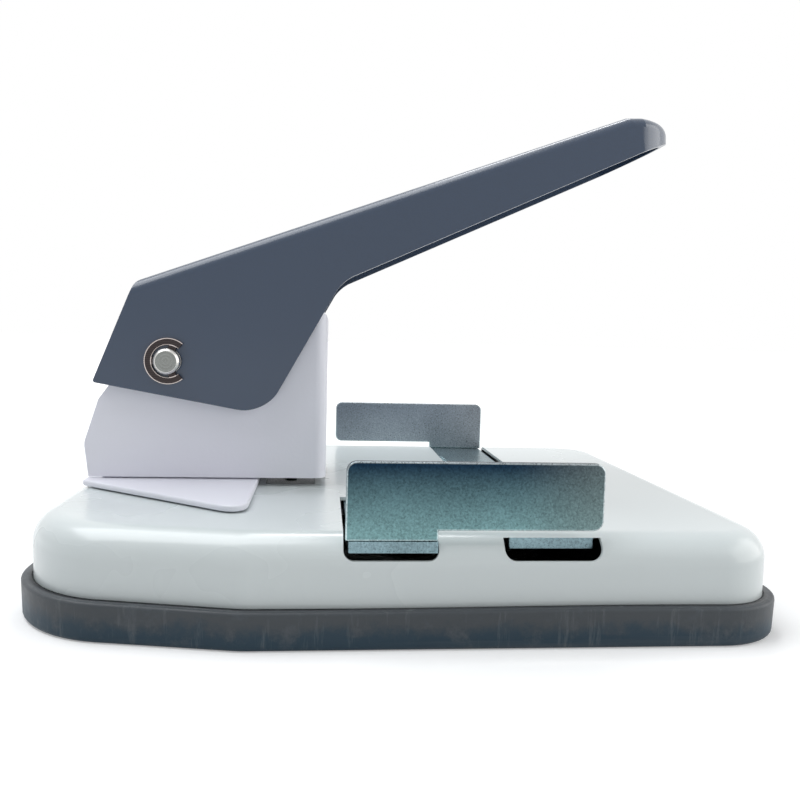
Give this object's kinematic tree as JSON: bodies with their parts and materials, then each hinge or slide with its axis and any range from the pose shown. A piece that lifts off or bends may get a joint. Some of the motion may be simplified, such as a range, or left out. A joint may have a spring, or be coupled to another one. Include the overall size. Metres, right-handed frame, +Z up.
{
  "type": "id card slot punch",
  "caption": "Desk punch whose long lever drives a slot-shaped blade through the edge of an identity card, centred by guides on a rack and pinion, with a chip tray below.",
  "frame": {"origin": "middle of the tray's underside, on the table", "axes": "+X from the lever's pivot towards the open front edge, where the card goes in and the lever's nose points; Y across the two card guides, the near one in the picture at -Y; +Z up"},
  "size_m": [0.1578, 0.1308, 0.1144],
  "materials": {
    "body_white": "glossy enamel",
    "head_white": "satin powder coat",
    "lever_blue": "satin powder coat",
    "zinc_plate": "zinc plated",
    "steel": "bright, lightly oiled",
    "dark_steel": "blackened spring steel",
    "tool_steel": "ground and hardened",
    "brass_gear": "as cut",
    "black_nylon": "matt",
    "tray_grey": "satin, scuffed"
  },
  "bodies": {
    "base": {"base_shell": "body_white", "backing_plate": "zinc_plate", "die_insert": "tool_steel", "die_screws": "dark_steel", "punch_frame": "head_white", "frame_screws": "steel", "head_cover": "head_white", "guide_block": "tool_steel", "block_pins": "steel", "spring_plate": "steel", "pivot_pin": "steel", "pin_clips": "dark_steel", "rack_keeper": "zinc_plate", "keeper_studs": "steel", "keeper_nuts": "steel", "pinion_stud": "steel", "return_spring": "steel"},
    "lever_arm": {"lever": "lever_blue", "pusher_block": "black_nylon"},
    "punch": {"punch_blade": "tool_steel", "blade_cap": "dark_steel"},
    "near_slider": {"near_guide": "zinc_plate", "near_rack": "zinc_plate"},
    "far_slider": {"far_guide": "zinc_plate", "far_rack": "zinc_plate"},
    "pinion_gear": {"pinion": "brass_gear"},
    "tray": {"chip_tray": "tray_grey"}
  },
  "joints": [
    {"name": "lever_hinge", "type": "hinge", "parent": "base", "child": "lever_arm", "pos_m": [-0.0531, 0, 0.0516], "axis": [0, 1, 0], "range_deg": [0, 11.6], "stiffness_Nm_per_rad": 1.6, "springref_deg": -10.03},
    {"name": "punch_slide", "type": "slide", "parent": "base", "child": "punch", "axis": [0, 0, -1], "range_m": [0, 0.006], "deforming": ["return_spring"]},
    {"name": "near_slide", "type": "slide", "parent": "base", "child": "near_slider", "axis": [0, 1, 0], "range_m": [0, 0.0339]},
    {"name": "far_slide", "type": "slide", "parent": "base", "child": "far_slider", "axis": [0, -1, 0], "range_m": [0, 0.0339]},
    {"name": "pinion_turn", "type": "hinge", "parent": "base", "child": "pinion_gear", "pos_m": [0.013, 0, 0.0192], "axis": [0, 0, 1], "range_deg": [-246, 0]},
    {"name": "tray_slide", "type": "slide", "parent": "base", "child": "tray", "axis": [0, 0, -1], "range_m": [0, 0.03]}
  ],
  "couplings": [
    {"joint": "punch_slide", "follows": "lever_hinge", "m_per_rad": 0.0295},
    {"joint": "far_slide", "follows": "near_slide", "ratio": 1},
    {"joint": "pinion_turn", "follows": "near_slide", "rad_per_m": -125}
  ]
}
